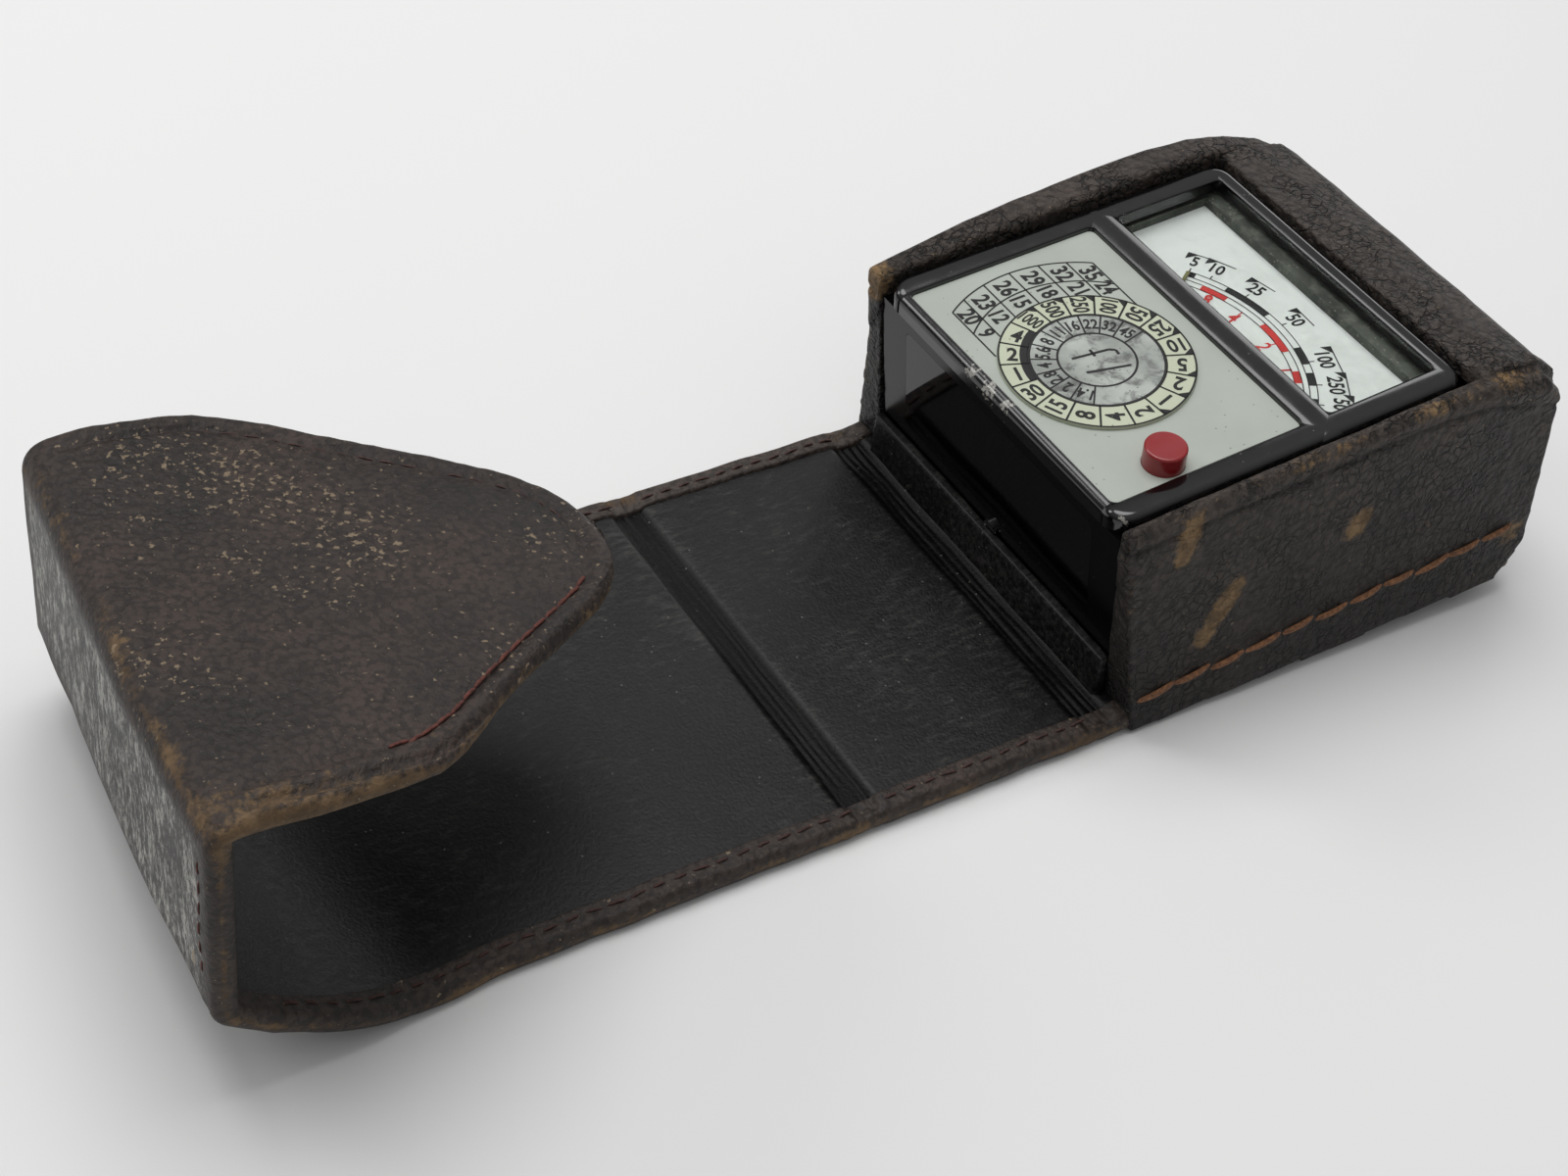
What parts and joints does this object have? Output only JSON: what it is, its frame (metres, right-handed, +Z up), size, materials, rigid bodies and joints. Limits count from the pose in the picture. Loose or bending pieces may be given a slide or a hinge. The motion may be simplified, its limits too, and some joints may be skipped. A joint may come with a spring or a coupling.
{
  "type": "exposure meter in leather case",
  "caption": "Pocket exposure meter with calculator dial, window scale and red button, lying in its opened leather ever-ready case.",
  "frame": {"origin": "on the ground under the whole open case, midway along it and on its centre line", "axes": "+X along the open case from the cap towards the meter, +Y across it away from the red button's side, +Z up"},
  "size_m": [0.2033, 0.0676, 0.046],
  "materials": {
    "outer_leather": "pebbled dark brown leather, rubbed tan along its edges",
    "lining_leather": "smooth black lining leather",
    "board": "pressed stiffening board",
    "black_enamel": "glossy black moulded housing",
    "plate_paint": "pale grey-green enamel",
    "dial_paint": "pale yellow-green enamel",
    "disc_metal": "satin anodised disc, smudged",
    "clear_glass": "clear window glass",
    "cell_glass": "dark glossy cell window",
    "red_plastic": "glossy red button",
    "scale_white": "white enamelled scale plate",
    "mask_grey": "dusty grey-green mask",
    "needle_paint": "olive painted needle",
    "brass": "turned brass",
    "steel": "plain steel",
    "magnet_steel": "cast magnet alloy",
    "copper": "lacquered copper winding",
    "selenium": "dark selenium layer",
    "jewel": "synthetic ruby bearing",
    "brown_board": "brown insulating board",
    "chrome": "nickel-plated screw"
  },
  "bodies": {
    "tray": {"tray_base_leather": "outer_leather", "tray_base_board": "board", "tray_base_lining": "lining_leather", "near_wall": "outer_leather", "far_wall": "outer_leather", "end_hood": "outer_leather", "front_lip": "lining_leather", "keeper_strap": "outer_leather", "front_fold": "outer_leather", "body_shell": "black_enamel", "cell_glass": "cell_glass", "selenium_cell": "selenium", "cell_contact": "brass", "cell_clamp": "steel", "face_frame": "black_enamel", "face_plate": "plate_paint", "window_glass": "clear_glass", "scale_plate": "scale_white", "scale_mask": "mask_grey", "button_guide": "brass", "button_spring": "steel", "switch_block": "brown_board", "switch_leaf": "brass", "ring_magnet": "magnet_steel", "iron_core": "steel", "upper_bridge": "brass", "lower_bridge": "brass", "upper_jewel": "jewel", "bridge_posts": "brass", "hairsprings": "brass", "movement_base": "steel", "range_resistor": "brown_board", "terminal_board": "brown_board", "case_screws": "steel"},
    "front_panel": {"front_panel_leather": "outer_leather", "front_panel_board": "board", "front_panel_lining": "lining_leather", "top_fold": "outer_leather"},
    "top_panel": {"top_panel_leather": "outer_leather", "top_panel_board": "board", "top_panel_lining": "lining_leather", "cap_fold": "outer_leather"},
    "end_wall": {"end_wall_leather": "outer_leather", "end_wall_board": "board", "end_wall_lining": "lining_leather", "crown_fold": "outer_leather"},
    "tongue": {"tongue_leather": "outer_leather", "tongue_lining": "lining_leather"},
    "dial_ring": {"dial_ring": "dial_paint"},
    "aperture_disc": {"aperture_disc": "disc_metal", "dial_clip": "steel"},
    "button": {"button": "red_plastic"},
    "needle": {"needle": "needle_paint", "pivot_staff": "steel", "moving_coil": "copper"},
    "zero_screw": {"zero_screw": "chrome"}
  },
  "joints": [
    {"name": "front_fold", "type": "hinge", "parent": "tray", "child": "front_panel", "pos_m": [0.02625, 0, 0.0016], "axis": [0, 1, 0], "range_deg": [0, 85]},
    {"name": "top_fold", "type": "hinge", "parent": "front_panel", "child": "top_panel", "pos_m": [-0.01075, 0, 0.0016], "axis": [0, 1, 0], "range_deg": [0, 90]},
    {"name": "cap_fold", "type": "hinge", "parent": "top_panel", "child": "end_wall", "pos_m": [-0.09606, 0, 0.01424], "axis": [-0.1028, -0.9915, 0.0803], "range_deg": [0, 50]},
    {"name": "crown_fold", "type": "hinge", "parent": "end_wall", "child": "tongue", "pos_m": [-0.09606, 0, 0.04182], "axis": [-0.1028, -0.9915, 0.0803], "range_deg": [0, 85]},
    {"name": "dial_turn", "type": "hinge", "parent": "tray", "child": "dial_ring", "pos_m": [0.04205, 0, 0.0353], "axis": [-0.0906, 0, 0.9959], "continuous": true},
    {"name": "disc_turn", "type": "hinge", "parent": "tray", "child": "aperture_disc", "pos_m": [0.04205, 0, 0.0353], "axis": [-0.0906, 0, 0.9959], "continuous": true},
    {"name": "button_press", "type": "slide", "parent": "tray", "child": "button", "axis": [0.0906, 0, -0.9959], "range_m": [0, 0.0015], "stiffness_N_per_m": 300, "deforming": ["button_spring"]},
    {"name": "needle_swing", "type": "hinge", "parent": "tray", "child": "needle", "pos_m": [0.04633, -0.00175, 0.03569], "axis": [0.0906, 0, -0.9959], "range_deg": [0, 74], "stiffness_Nm_per_rad": 0.00002, "deforming": ["hairsprings"]},
    {"name": "zero_adjust", "type": "hinge", "parent": "tray", "child": "zero_screw", "pos_m": [0.03002, 0, 0.0099], "axis": [-0.9842, 0, -0.1771], "range_deg": [-45, 45]}
  ]
}
